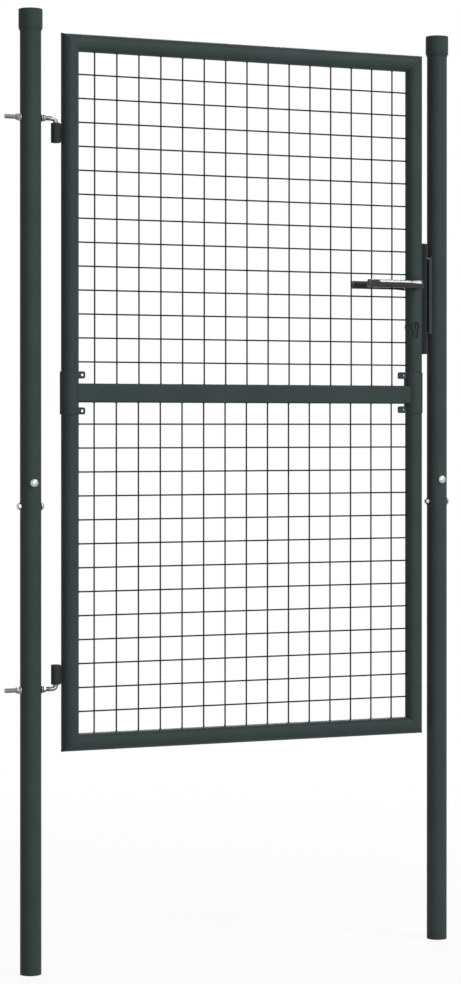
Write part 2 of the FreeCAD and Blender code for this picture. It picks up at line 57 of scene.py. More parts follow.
WHITE = (1.0, 1.0, 1.0, 1.0)
AHEAD_X = Vector((1.0, 0.0, 0.0))
AHEAD_Y = Vector((0.0, 1.0, 0.0))
AHEAD_Z = Vector((0.0, 0.0, 1.0))

Pair = tuple[float, float]
Triple = tuple[float, float, float]
Outline = Sequence[Pair]
RadiusAt = Callable[[float], float]
Rows = Sequence[tuple[float, RadiusAt]]
Material = bpy.types.Material
Socket = bpy.types.NodeSocket
Tree = bpy.types.NodeTree


class Body(Enum):
    """Moving bodies of the gate."""

    POSTS = "posts"
    LEAF = "leaf"
    HANDLE = "handle"


class Coat(Enum):
    """Material slots that a piece takes its finish from."""

    TUBE = "tube_paint"
    CASE = "case_paint"
    CAP = "cap_plastic"
    WIRE = "mesh_paint"
    ZINC = "zinc"
    BARREL = "barrel_paint"
    LEVER = "lever_metal"
    CYLINDER = "cylinder_metal"
    FOREND = "forend_steel"


def screen_colour(*channels: int) -> Triple:
    """Colour in linear light, by the usual curve, of red, green and blue from 0 to 255 on a screen."""
    shares = [channel / 255 for channel in channels]
    return tuple(s / 12.92 if s <= 0.04045 else ((s + 0.055) / 1.055) ** 2.4 for s in shares)


def shade(colour: Sequence[float], factor: float) -> tuple[float, float, float, float]:
    """Colour made lighter or darker by a factor, with full opacity."""
    return (colour[0] * factor, colour[1] * factor, colour[2] * factor, 1.0)


def add_node(tree: Tree, kind: str, sockets: dict[str | int, object]) -> bpy.types.Node:
    """Add a node to a tree, with a constant or a link on some of its inputs.

    Args:
        tree: Node tree of a material or of the surroundings.
        kind: Type of the node.
        sockets: Constant, or socket to link from, for each input by its name or number.

    Returns:
        The new node.
    """
    node = tree.nodes.new(kind)
    for key, source in sockets.items():
        if isinstance(source, Socket):
            tree.links.new(source, node.inputs[key])
        else:
            node.inputs[key].default_value = source
    return node


def add_object(name: str, data: bpy.types.ID) -> bpy.types.Object:
    """Add an object to the scene.

    Args:
        name: Its name.
        data: Mesh, camera or lamp that it shows.

    Returns:
        The new object.
    """
    made = bpy.data.objects.new(name, data)
    bpy.context.scene.collection.objects.link(made)
    return made


@dataclass
class NodeBench:
    """Bench on which the nodes of one material are set out and joined."""

    material: Material
    ramp_stops: Pair = (0.3, 0.7)

    def __post_init__(self) -> None:
        """Turn nodes on and keep the shader at hand."""
        self.material.use_nodes = True
        self.tree = self.material.node_tree
        self.shader = self.tree.nodes["Principled BSDF"]
        self.place = self.tree.nodes.new("ShaderNodeTexCoord").outputs["Object"]

    def stretched(self, scale: Triple) -> Socket:
        """Object coordinates stretched by a factor along each axis."""
        node = add_node(self.tree, "ShaderNodeMapping", {"Scale": scale, "Vector": self.place})
        return node.outputs["Vector"]

    def noise(self, scale: float, detail: float, place: Socket | None = None) -> Socket:
        """Grey noise of so many blotches per metre and octaves, over the object or other coordinates."""
        sockets = {"Scale": scale, "Detail": detail, "Vector": place or self.place}
        return add_node(self.tree, "ShaderNodeTexNoise", sockets).outputs["Fac"]

    def cells(self, scale: float) -> Socket:
        """Colour of crystal-like cells, so many per metre."""
        node = add_node(self.tree, "ShaderNodeTexVoronoi", {"Scale": scale, "Vector": self.place})
        return node.outputs["Color"]

    def tint(self, value: Socket, colour: Triple, tone: Pair) -> None:
        """Vary the base colour with a value.

        Args:
            value: Grey value from 0 to 1.
            colour: Middle colour.
            tone: Factors of the darkest and of the lightest shade.
        """
        ramp = add_node(self.tree, "ShaderNodeValToRGB", {"Fac": value})
        for stop, position, factor in zip(ramp.color_ramp.elements, self.ramp_stops, tone):
            stop.position = position
            stop.color = shade(colour, factor)
        self.tree.links.new(ramp.outputs["Color"], self.shader.inputs["Base Color"])

    def roughness(self, value: Socket, gloss: Pair) -> None:
        """Vary the roughness between two limits with a value.

        Args:
            value: Value from 0 to 1.
            gloss: Roughness at 0 and at 1.
        """
        limits = {"To Min": gloss[0], "To Max": gloss[1]}
        reach = add_node(self.tree, "ShaderNodeMapRange", {"Value": value, **limits})
        self.tree.links.new(reach.outputs["Result"], self.shader.inputs["Roughness"])

    def bump(self, value: Socket, share: float, height: float) -> None:
        """Raise the surface with a value.

        Args:
            value: Value from 0 to 1.
            share: Share of the effect.
            height: Height in metres.
        """
        sockets = {"Strength": share, "Distance": height, "Height": value}
        raised = add_node(self.tree, "ShaderNodeBump", sockets).outputs["Normal"]
        self.tree.links.new(raised, self.shader.inputs["Normal"])


@dataclass(frozen=True)
class Finish:
    """Finish whose tone, gloss and relief change over the surface.

    A grain is a number of blotches per metre with its octaves of finer noise.
    """

    name: str
    colour: Triple
    _: KW_ONLY
    tone: Pair
    tone_grain: Pair
    gloss: Pair
    gloss_grain: Pair = (60.0, 3.0)
    relief_grain: Pair = (1200.0, 2.0)
    relief_share: float
    relief_height: float
    metallic: float = 0.0
    specular: float = 0.5

    def make(self) -> Material:
        """Make the node material.

        Returns:
            The new material.
        """
        bench = NodeBench(bpy.data.materials.new(self.name))
        bench.shader.inputs["Metallic"].default_value = self.metallic
        bench.shader.inputs["Specular IOR Level"].default_value = self.specular
        bench.tint(bench.noise(*self.tone_grain), self.colour, self.tone)
        bench.roughness(self.gloss_pattern(bench), self.gloss)
        bench.bump(self.relief_pattern(bench), self.relief_share, self.relief_height)
        return bench.material

    def gloss_pattern(self, bench: NodeBench) -> Socket:
        """Pattern in which the gloss changes."""
        return bench.noise(*self.gloss_grain)

    def relief_pattern(self, bench: NodeBench) -> Socket:
        """Pattern of the fine relief."""
        return bench.noise(*self.relief_grain)


@dataclass(frozen=True)
class PowderCoat(Finish):
    """Satin powder coat with a soft cloudiness and a fine orange peel."""

    tone: Pair = (0.92, 1.08)
    tone_grain: Pair = (9.0, 4.0)
    gloss: Pair = (0.42, 0.54)
    relief_grain: Pair = (900.0, 2.0)
    relief_share: float = 0.25
    relief_height: float = 0.0002
    specular: float = 0.06


@dataclass(frozen=True)
class MouldedPlastic(Finish):
    """Matte moulded plastic with a spark-eroded grain."""

    tone: Pair = (0.94, 1.06)
    tone_grain: Pair = (30.0, 3.0)
    gloss: Pair = (0.5, 0.62)
    gloss_grain: Pair = (300.0, 2.0)
    relief_grain: Pair = (1800.0, 1.0)
    relief_share: float = 0.3
    relief_height: float = 0.00012
    specular: float = 0.08


@dataclass(frozen=True)
class ZincPlate(Finish):
    """Bright plating with fine crystals and a faint change of tone."""

    tone: Pair = (0.88, 1.06)
    tone_grain: Pair = (160.0, 3.0)
    gloss: Pair = (0.24, 0.42)
    relief_share: float = 0.15
    relief_height: float = 0.00006
    metallic: float = 1.0
    crystal_scale: float = 900.0

    def gloss_pattern(self, bench: NodeBench) -> Socket:
        """Crystals, each with its own gloss."""
        return bench.cells(self.crystal_scale)


@dataclass(frozen=True, kw_only=True)
class BrushedMetal(Finish):
    """Metal with fine lines along one direction, bare, under a dark coat, or with a base colour darkened
    as painted reflection.
    """

    tone: Pair = (0.93, 1.05)
    tone_grain: Pair = (45.0, 3.0)
    relief_share: float = 0.2
    relief_height: float = 0.00002
    specular: float = 0.2
    lines: Triple
    line_detail: float = 3.0

    def gloss_pattern(self, bench: NodeBench) -> Socket:
        """Noise that is stretched into lines."""
        return bench.noise(1.0, self.line_detail, bench.stretched(self.lines))

    def relief_pattern(self, bench: NodeBench) -> Socket:
        """The same lines as for the gloss."""
        return self.gloss_pattern(bench)


class Paintshop:
    """Makes each finish once and hands out its material."""

    def __init__(self) -> None:
        """Mix the finishes of the gate."""
        finishes = {
            Coat.TUBE: PowderCoat("tube_powder_coat", screen_colour(57, 68, 67)),
            # The lock case is coloured darker than the tubes: painted shade for the shade in the gap
            # between stile and post.
            Coat.CASE: PowderCoat("case_shaded_coat", screen_colour(33, 37, 39)),
            Coat.CAP: MouldedPlastic("cap_moulded_plastic", screen_colour(54, 66, 64)),
            Coat.WIRE: PowderCoat("wire_powder_coat", screen_colour(38, 42, 42), gloss=(0.45, 0.6)),
            # Zinc plating in two copies of one material: this lighter copy is painted reflection, standing
            # in for the bright reflection on the bolt heads.
            Coat.ZINC: ZincPlate("lit_zinc_copy", (0.5, 0.52, 0.52)),
            Coat.BARREL: PowderCoat(
                "barrel_powder_coat", screen_colour(54, 58, 56), tone=(0.8, 1.2), relief_height=0.0004),
            # The lever's very dark base colour is painted reflection: it darkens the bright metal as if it
            # mirrored dark surroundings.
            Coat.LEVER: BrushedMetal(
                "lever_satin_metal", (0.042, 0.042, 0.042), lines=(120.0, 1500.0, 1500.0),
                gloss=(0.12, 0.17), metallic=0.32),
            Coat.CYLINDER: BrushedMetal(
                "cylinder_dark_nickel", (0.019, 0.024, 0.024), lines=(900.0, 200.0, 900.0),
                gloss=(0.5, 0.65), metallic=0.0),
            Coat.FOREND: BrushedMetal(
                "forend_dark_steel", screen_colour(34, 32, 38), lines=(1200.0, 1200.0, 90.0),
                gloss=(0.45, 0.6), metallic=0.1),
        }
        self.materials = {coat: finish.make() for coat, finish in finishes.items()}
        # Darker copy of the same zinc plating: painted shade, standing in for the shaded look of the hinge
        # rods and nuts.
        self.shaded_zinc_copy = ZincPlate("shaded_zinc_copy", (0.25, 0.26, 0.26)).make()

    def of(self, coat: Coat) -> Material:
        """Material of a finish."""
        return self.materials[coat]

    def dress(self, coat: Coat, *nodes: str) -> None:
        """Give solids of the frame their finish.

        Args:
            coat: Finish that they get.
            nodes: Names of the solids.
        """
        for node in nodes:
            for material_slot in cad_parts[node].material_slots:
                material_slot.material = self.of(coat)
            LOG.info("dressed %s", node)


def round_angles(count: int) -> list[float]:
    """Angles of equal steps round a circle."""
    return [math.tau * i / count for i in range(count)]


def quarter_angles(steps: int) -> list[float]:
    """Angles of equal steps through a quarter of a circle, with both ends."""
    return [QUARTER * i / steps for i in range(steps + 1)]


@dataclass(frozen=True)
class Stand:
    """Place and direction from which a round or six-sided shape is set out, in millimetres."""

    origin: Vector
    ahead: Vector
    side: Vector

    def at(self, along: float, across: float, over: float) -> Vector:
        """Point at distances along the three directions."""
        up = self.ahead.cross(self.side)
        return self.origin + self.ahead * along + self.side * across + up * over

    def polar(self, along: float, angle: float, radius: float) -> Vector:
        """Point at a distance along, turned by an angle at a radius."""
        return self.at(along, radius * math.cos(angle), radius * math.sin(angle))


@dataclass(frozen=True)
class Ripple:
    """Ripples of a weld bead: the share by which its radius swells, and their distance."""

    share: float
    pitch: float


@dataclass
class MeshDraft:
    """Points and faces of one piece while it is made, in millimetres."""

    points: list[Vector] = field(default_factory=list)
    faces: list[tuple[int, ...]] = field(default_factory=list)

    def skin(self, rings: Sequence[Sequence[Vector]], ends_closed: bool = True) -> None:
        """Lay faces between rings of equally many points.

        Args:
            rings: Rings of points, one after the other.
            ends_closed: Whether the first and the last ring are filled.
        """
        rows: list[list[int]] = []
        for ring in rings:
            first = len(self.points)
            self.points.extend(ring)
            rows.append(list(range(first, first + len(ring))))
        for low, high in zip(rows, rows[1:]):
            count = len(low)
            for i in range(count):
                j = (i + 1) % count
                self.faces.append((low[i], low[j], high[j], high[i]))
        if ends_closed:
            self.faces.append(tuple(reversed(rows[0])))
            self.faces.append(tuple(rows[-1]))

    def shaped(self, stand: Stand, rows: Rows, sides: int = 48) -> None:
        """Skin of a bar from rows of a distance along it and a radius by angle."""
        angles = round_angles(sides)
        self.skin([[stand.polar(along, a, radius_at(a)) for a in angles] for along, radius_at in rows])

    def turned(self, stand: Stand, outline: Outline, sides: int = 48) -> None:
        """Skin of a shape turned about its stand, from points of radius and distance along."""
        rows = [(along, lambda _a, r=max(radius, LEAST_RADIUS): r) for radius, along in outline]
        self.shaped(stand, rows, sides)

    def blob(self, centre: Vector, radii: Vector, sides: int = 8, rows: int = 5) -> None:
        """Rounded drop, such as the nugget of a spot weld.

        Args:
            centre: Middle of the drop.
            radii: Half sizes along X, Y and Z.
            sides: Points round it.
            rows: Rings from pole to pole.
        """
        rings = []
        for row in range(1, rows):
            lift = math.pi * row / rows
            across, up = math.sin(lift), -math.cos(lift)
            rings.append([centre + Vector((
                radii.x * across * math.cos(turn), radii.y * across * math.sin(turn), radii.z * up,
            )) for turn in round_angles(sides)])
        self.skin(rings)

    def bead(self, path: Sequence[Vector], radius: float, ripple: Ripple, sides: int = 8,
             closed: bool = False) -> None:
        """Weld bead along a path, with the ripples that a welder leaves.

        Args:
            path: Points along the bead.
            radius: Mean radius.
            ripple: Its ripples.
            sides: Points round the bead.
            closed: Whether the path runs back to its start.
        """
        rings = []
        travelled = 0.0
        count = len(path)
        for i, centre in enumerate(path):
            before = path[i - 1] if (closed or i > 0) else centre
            after = path[(i + 1) % count] if (closed or i < count - 1) else centre
            ahead = (after - before).normalized()
            helper = AHEAD_Z if abs(ahead.z) < STEEP else AHEAD_Y
            side = ahead.cross(helper).normalized()
            up = side.cross(ahead)
            if i:
                travelled += (centre - path[i - 1]).length
            swell = radius * (1 + ripple.share * math.sin(math.tau * travelled / ripple.pitch))
            rings.append([
                centre + side * (swell * math.cos(turn)) + up * (swell * math.sin(turn))
                for turn in round_angles(sides)
            ])
        if closed:
            rings.append(rings[0])
        self.skin(rings, ends_closed=not closed)

    def piece(self, name: str, material: Material, body: Body,
              replaces: Sequence[str] = (), sharp_from: float = 32.0) -> bpy.types.Object:
        """Make the piece, give it its finish and let it ride on its body.

        Args:
            name: Name of the piece.
            material: Its material.
            body: Body that it moves with.
            replaces: Solids that it stands for.
            sharp_from: Angle in degrees from which an edge stays sharp.

        Returns:
            The new object.
        """
        mesh = bpy.data.meshes.new(name)
        mesh.from_pydata([p * MILLIMETRE for p in self.points], [], self.faces)
        sheet = bmesh.new()
        sheet.from_mesh(mesh)
        bmesh.ops.remove_doubles(sheet, verts=sheet.verts, dist=MERGE_METRES)
        bmesh.ops.recalc_face_normals(sheet, faces=sheet.faces)
        for face in sheet.faces:
            face.smooth = True
        for edge in sheet.edges:
            if len(edge.link_faces) == 2 and edge.calc_face_angle() > math.radians(sharp_from):
                edge.smooth = False
        sheet.to_mesh(mesh)
        sheet.free()
        mesh.materials.append(material)
        made = add_object(name, mesh)
        if replaces:
            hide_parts(*replaces)
        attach(made, body.value)
        LOG.info("made %s: %d faces, on %s", name, len(mesh.polygons), body.value)
        return made


def hexagon_radius(across_flats: float, angle: float) -> float:
    """Radius of a hexagon at an angle.

    Args:
        across_flats: Distance between two opposite flats.
        angle: Angle from the middle of a flat.

    Returns:
        The distance from the middle to the edge.
    """
    step = math.pi / 3
    off_middle = (angle + step / 2) % step - step / 2
    return across_flats / 2 / math.cos(off_middle)


def arc_outline(start: Pair, end: Pair, steps: int) -> list[Pair]:
    """Quarter-round outline between two points of a turned shape.

    Args:
        start: Radius and distance along the axis at the start.
        end: Radius and distance along the axis at the end.
        steps: Number of straight steps.

    Returns:
        Points of radius and distance.
    """
    outline = []
    for turn in quarter_angles(steps):
        radius = end[0] + (start[0] - end[0]) * math.cos(turn)
        along = start[1] + (end[1] - start[1]) * math.sin(turn)
        outline.append((radius, along))
    return outline


def rounded_corners(corners: Outline, radii: Sequence[float], steps: int = 6,
                    most: float = 0.48) -> list[Pair]:
    """Closed outline with each corner rounded.

    Args:
        corners: Corners in order.
        radii: Radius wanted at each corner, made smaller where a side is short.
        steps: Straight steps of each rounding.
        most: Share of a side that one rounding may take.

    Returns:
        Points round the outline, equally many for every outline of as many corners.
    """
    outline = []
    count = len(corners)
    for i, radius in enumerate(radii):
        corner = Vector(corners[i])
        before = Vector(corners[i - 1]) - corner
        after = Vector(corners[(i + 1) % count]) - corner
        cut = min(radius / math.tan(before.angle(after) / 2), most * before.length, most * after.length)
        start = corner + before.normalized() * cut
        end = corner + after.normalized() * cut
        for k in range(steps + 1):
            share = k / steps
            point = start * (1 - share) ** 2 + corner * (2 * share * (1 - share)) + end * share**2
            outline.append((point.x, point.y))
    return outline


@dataclass(frozen=True)
class Extent:
    """Box of one solid of the frame, in millimetres."""

    low: Vector
    high: Vector

    @classmethod
    def of(cls, node: str) -> "Extent":
        """Box of a solid at rest."""
        low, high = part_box(node)
        return cls(low / MILLIMETRE, high / MILLIMETRE)

    @property
    def middle(self) -> Vector:
        """Middle of the box."""
        return (self.low + self.high) / 2

    @property
    def half(self) -> Vector:
        """Half sizes of the box."""
        return (self.high - self.low) / 2


@dataclass
class PostSet:
    """Two bolted posts with their caps, joint bolts and the strike."""

    shop: Paintshop
    cap_clearance: float = 0.3
    cap_lip: float = 4.0
    cap_lip_wall: float = 1.2
    cap_lip_chamfer: float = 0.3
    cap_skirt_chamfer: float = 0.4
    cap_edge: float = 1.2
    cap_edge_fall: float = 0.15
    cap_crown_border: float = 4.0
    cap_crown_fall: float = 0.1
    seat_gap: float = 0.1
    shank_radius: float = 4.0
    head_radius: float = 9.0
    head_height: float = 6.5
    head_rim: float = 0.9
    head_chamfer: float = 0.3
    nut_flats: float = 13.0
    nut_height: float = 5.0
    nut_foot: float = 0.5
    nut_foot_ring: float = 0.1
    nut_chamfer: float = 0.7
    nut_dome_radius: float = 6.0
    nut_dome_height: float = 3.4

    def build(self) -> None:
        """Dress the tubes and make the caps and bolts."""
        for post in ("hinge_post", "latch_post"):
            self.shop.dress(Coat.TUBE, post + "_lower", post + "_upper")
            self.shop.dress(Coat.ZINC, post + "_sleeve")
            self.cap(post)
            self.joint_bolt(post, "_front_bolt", AHEAD_Y, AHEAD_X)
            self.joint_bolt(post, "_side_bolt", -AHEAD_X, AHEAD_Y)
        self.shop.dress(Coat.TUBE, "strike")

    def cap(self, post: str) -> None:
        """Plastic cap with a low crown, a straight skirt and a thin lip.

        Args:
            post: Name of the post.
        """
        tube = Extent.of(post + "_upper")
        solid = Extent.of(post + "_cap")
        radius, top, lip_end = solid.half.x, solid.high.z, solid.low.z
        skirt_end = lip_end + self.cap_lip
        bore = tube.half.x + self.cap_clearance
        lip = bore + self.cap_lip_wall
        ceiling = tube.high.z + self.cap_clearance
        edge_end = (radius - self.cap_edge, top - self.cap_edge_fall)
        outline = [
            (0.0, top), (radius - self.cap_crown_border, top - self.cap_crown_fall),
            *reversed(arc_outline((radius, top - self.cap_edge), edge_end, steps=6)),
            (radius, skirt_end + self.cap_skirt_chamfer), (radius - self.cap_skirt_chamfer, skirt_end),
            (lip, skirt_end), (lip, lip_end + self.cap_lip_chamfer), (lip - self.cap_lip_chamfer, lip_end),
            (bore, lip_end), (bore, ceiling), (0.0, ceiling),
        ]
        draft = MeshDraft()
        draft.turned(Stand(Vector((tube.middle.x, 0.0, 0.0)), AHEAD_Z, AHEAD_X), outline, sides=72)
        draft.piece(post + "_moulded_cap", self.shop.of(Coat.CAP), Body.POSTS, [post + "_cap"])

    def joint_bolt(self, post: str, kind: str, ahead: Vector, side: Vector) -> None:
        """Mushroom-head bolt through the post with a domed nut.

        Args:
            post: Name of the post.
            kind: End of the bolt's name.
            ahead: Direction from the head to the nut.
            side: Direction of a flat of the nut.
        """
        tube = Extent.of(post + "_lower")
        solid = Extent.of(post + kind)
        stand = Stand(Vector((tube.middle.x, 0.0, solid.middle.z)), ahead, side)
        seat = tube.half.x + self.seat_gap
        draft = MeshDraft()
        rim = self.head_chamfer
        wide = self.head_radius
        head = [(0.0, -seat), (wide - rim, -seat), (wide, -seat - rim)]
        head += arc_outline((wide, -seat - self.head_rim), (0.0, -seat - self.head_height), steps=9)
        draft.turned(stand, head)
        draft.turned(stand, [(self.shank_radius, -seat), (self.shank_radius, seat)], sides=24)
        flat = self.nut_flats / 2
        corner = self.nut_flats / math.sqrt(3)
        nut_top = seat + self.nut_height

        def nut_radius(cone: float) -> RadiusAt:
            """Radius of the six-sided nut, limited by its chamfer."""
            return lambda angle: min(hexagon_radius(self.nut_flats, angle), cone)

        draft.shaped(stand, [
            (seat, nut_radius(flat + self.nut_foot_ring)), (seat + self.nut_foot, nut_radius(corner)),
            (nut_top - self.nut_chamfer, nut_radius(corner)), (nut_top, nut_radius(flat)),
        ], sides=72)
        dome = arc_outline((self.nut_dome_radius, nut_top), (0.0, nut_top + self.nut_dome_height), steps=7)
        draft.turned(stand, dome, sides=36)
        draft.piece(post + kind + "_plated", self.shop.of(Coat.ZINC), Body.POSTS, [post + kind])


@dataclass
class Hinge:
    """Bent bolt through the hinge post, its flange nuts and the barrel on the leaf.

    The pin's side is 1 where it points up and -1 where it points down.
    """

    shop: Paintshop
    name: str
    pin_side: float
    rod_sides: int = 24
    rod_chamfer: float = 1.2
    bend_radius: float = 8.0
    bend_steps: int = 12
    pin_chamfer: float = 0.8
    pin_chamfer_length: float = 1.0
    thread_pitch: float = 1.5
    thread_depth: float = 0.7
    thread_end: float = 41.0
    thread_rings: int = 4
    thread_runout: float = 1.5
    barrel_radius: float = 10.0
    barrel_bore: float = 5.05
    barrel_mouth: float = 0.5
    barrel_edge: float = 1.4
    barrel_sides: int = 48
    web_half: float = 4.0
    web_inset: float = 2.0
    web_overlap: float = 1.2
    web_gap: float = 0.2
    bead_radius: float = 1.7
    bead_inset: float = 0.6
    bead_step: float = 0.5
    bead_ripple: Ripple = Ripple(0.12, 2.6)
    nut_flats: float = 13.0
    nut_height: float = 9.6
    nut_mouth: float = 0.7
    nut_chamfer_slope: float = 1.2
    flange_radius: float = 8.75
    flange_chamfer: float = 0.25
    flange_edge: float = 1.2
    flange_height: float = 6.0
    nut_levels: tuple[float, ...] = (0.25, 1.2, 1.4, 2.2, 3.0, 3.8, 4.6, 5.4, 6.0, 8.2, 8.7, 9.2, 9.6)

    def build(self) -> None:
        """Make the pieces of the hinge."""
        self.bolt()
        self.nuts()
        self.barrel()

    def box(self, kind: str) -> Extent:
        """Box of one of the hinge's solids."""
        return Extent.of(f"{self.name}_hinge_{kind}")

    def bolt(self) -> None:
        """Rod with a rolled thread through the post, a bend and a smooth pin."""
        solid = self.box("bolt")
        pin_side = self.pin_side
        rod = solid.half.y
        start = solid.low.x
        pin_x = solid.high.x - rod
        height = self.box("nuts").middle.z
        pin_end = solid.high.z if pin_side > 0 else solid.low.z
        step = self.thread_pitch / self.thread_rings
        count = round((self.thread_end - start) / step)

        def straight(steps: float, radius: float, threaded: bool = False) -> list[Vector]:
            """Ring round the level part, so many steps from its start."""
            centre = Vector((start + steps * step, 0.0, height))
            return self.rod_ring(centre, AHEAD_Z, radius, threaded)

        rings = [straight(0, rod - self.rod_chamfer)]
        rings += [straight(i, rod, threaded=True) for i in range(1, count + 1)]
        rings.append(straight(count + self.thread_runout, rod))
        middle = Vector((pin_x - self.bend_radius, 0.0, height + pin_side * self.bend_radius))
        for turn in quarter_angles(self.bend_steps):
            outward = Vector((math.sin(turn), 0.0, -pin_side * math.cos(turn)))
            rings.append(self.rod_ring(middle + outward * self.bend_radius, outward * -pin_side, rod))
        for inset, radius in ((self.pin_chamfer_length, rod), (0.0, rod - self.pin_chamfer)):
            centre = Vector((pin_x, 0.0, pin_end - pin_side * inset))
            rings.append(self.rod_ring(centre, AHEAD_X * -pin_side, radius))
        draft = MeshDraft()
        draft.skin(rings)
        # The hinge bolt takes the darker zinc copy, which is painted shade.
        draft.piece(f"{self.name}_hinge_bent_bolt", self.shop.shaded_zinc_copy, Body.POSTS,
                    [f"{self.name}_hinge_bolt"], sharp_from=50.0)

    def rod_ring(self, centre: Vector, over: Vector, radius: float,
                 threaded: bool = False) -> list[Vector]:
        """Ring of points round the rod.

        Args:
            centre: Middle of the ring.
            over: Direction square to the rod and to Y.
            radius: Radius over the thread.
            threaded: Whether the thread runs through the ring.

        Returns:
            The points of the ring.
        """
        ring = []
        for k, angle in enumerate(round_angles(self.rod_sides)):
            reach = radius
            if threaded:
                phase = (centre.x / self.thread_pitch - k / self.rod_sides) % 1.0
                reach = radius - self.thread_depth * abs(2 * phase - 1)
            ring.append(centre + AHEAD_Y * (reach * math.cos(angle)) + over * (reach * math.sin(angle)))
        return ring

    def nuts(self) -> None:
        """Flange nuts on both sides of the post."""
        solid = self.box("nuts")
        rod = self.box("bolt").half.y
        flats = self.nut_flats
        corner = flats / math.sqrt(3)
        slope = (self.flange_radius - flats / 2) / (self.flange_height - self.flange_edge)

        def radius_at(along: float) -> RadiusAt:
            """Radius of the nut at a height: flange, cone, six flats and a chamfer.

            Args:
                along: Height over the post.

            Returns:
                The radius by angle.
            """
            flange = self.flange_radius - max(0.0, along - self.flange_edge) * slope
            chamfer = min(corner, flats / 2 + (self.nut_height - along) * self.nut_chamfer_slope)
            return lambda angle: max(min(hexagon_radius(flats, angle), chamfer), flange)

        top, mouth = self.nut_height, self.nut_mouth
        rows: list[tuple[float, RadiusAt]] = [(0.0, lambda _a: self.flange_radius - self.flange_chamfer)]
        rows += [(level, radius_at(level)) for level in self.nut_levels]
        rows += [(top, lambda _a: rod + mouth), (top - mouth, lambda _a: rod)]
        draft = MeshDraft()
        for side in (-1.0, 1.0):
            seat = Vector((side * (solid.high.x - top), 0.0, solid.middle.z))
            draft.shaped(Stand(seat, AHEAD_X * side, AHEAD_Z), rows, sides=72)
        # The flange nuts take the darker zinc copy, which is painted shade.
        draft.piece(f"{self.name}_hinge_flange_nuts", self.shop.shaded_zinc_copy, Body.POSTS,
                    [f"{self.name}_hinge_nuts"], sharp_from=28.0)

    def barrel(self) -> None:
        """Round-edged barrel on its web to the stile."""
        solid = self.box("barrel")
        bottom, top = solid.low.z, solid.high.z
        outer, bore = self.barrel_radius, self.barrel_bore
        edge, mouth = self.barrel_edge, self.barrel_mouth
        pin_x = solid.low.x + outer
        outline = [(bore, bottom + mouth), (bore + mouth, bottom), (outer - edge, bottom)]
        outline += reversed(arc_outline((outer, bottom + edge), (outer - edge, bottom), steps=5))
        outline += arc_outline((outer, top - edge), (outer - edge, top), steps=5)
        outline += [(bore + mouth, top), (bore, top - mouth), (bore, bottom + mouth)]
        draft = MeshDraft()
        stand = Stand(Vector((pin_x, 0.0, 0.0)), AHEAD_Z, AHEAD_X)
        angles = round_angles(self.barrel_sides)
        rings = [[stand.polar(along, angle, radius) for angle in angles] for radius, along in outline]
        draft.skin(rings, ends_closed=False)
        ends = (bottom + self.web_inset, top - self.web_inset)
        self.web(draft, pin_x + outer - self.web_overlap, ends)
        draft.piece(f"{self.name}_hinge_welded_barrel", self.shop.of(Coat.BARREL), Body.LEAF,
                    [f"{self.name}_hinge_barrel"])

    def web(self, draft: MeshDraft, near: float, ends: Pair) -> None:
        """Short web from the barrel to the stile, with a bead along each of its four corners.

        Args:
            draft: Draft of the barrel.
            near: Where the web starts in the barrel's wall.
            ends: Lower and upper end of the web.
        """
        half = self.web_half
        low, high = ends
        stile = self.box("stile")
        far = stile.middle.x - math.sqrt(stile.half.x**2 - half**2) - self.web_gap
        ring = ((near, -half), (far, -half), (far, half), (near, half))
        draft.skin([[Vector((x, y, z)) for x, y in ring] for z in ends])
        count = round((high - low) / self.bead_step)
        for side in (-1.0, 1.0):
            for x in (near + self.bead_inset, far):
                path = [Vector((x, side * half, low + i * self.bead_step)) for i in range(count + 1)]
                draft.bead(path, self.bead_radius, self.bead_ripple)


@dataclass
class LeafFrame:
    """Tubes of the leaf, their collars and the welds at the corners."""

    shop: Paintshop
    weld_depth: float = 0.35
    weld_radius: float = 0.75
    weld_ripple: Ripple = Ripple(0.12, 2.4)
    weld_steps: int = 96
    weld_sides: int = 6

    def build(self) -> None:
        """Dress the tubes and lay the welds."""
        self.shop.dress(
            Coat.TUBE, "top_rail", "mid_rail", "bottom_rail", "upper_hinge_stile", "lower_hinge_stile",
            "upper_latch_stile", "lower_latch_stile", "hinge_side_collar", "latch_side_collar")
        self.corner_welds()

    def corner_welds(self) -> None:
        """Ground-back bead round each of the four mitres."""
        draft = MeshDraft()
        for stile_node, outward_x in (("upper_hinge_stile", -1.0), ("upper_latch_stile", 1.0)):
            stile = Extent.of(stile_node)
            radius = stile.half.x
            reach = radius - self.weld_depth
            top = Extent.of("top_rail").high.z - radius
            bottom = Extent.of("bottom_rail").low.z + radius
            for height, outward_z in ((top, 1.0), (bottom, -1.0)):
                path = []
                for turn in round_angles(self.weld_steps):
                    out = reach * math.cos(turn)
                    x, z = stile.middle.x + outward_x * out, height + outward_z * out
                    path.append(Vector((x, reach * math.sin(turn), z)))
                draft.bead(path, self.weld_radius, self.weld_ripple, self.weld_sides, closed=True)
        draft.piece("leaf_corner_welds", self.shop.of(Coat.TUBE), Body.LEAF)


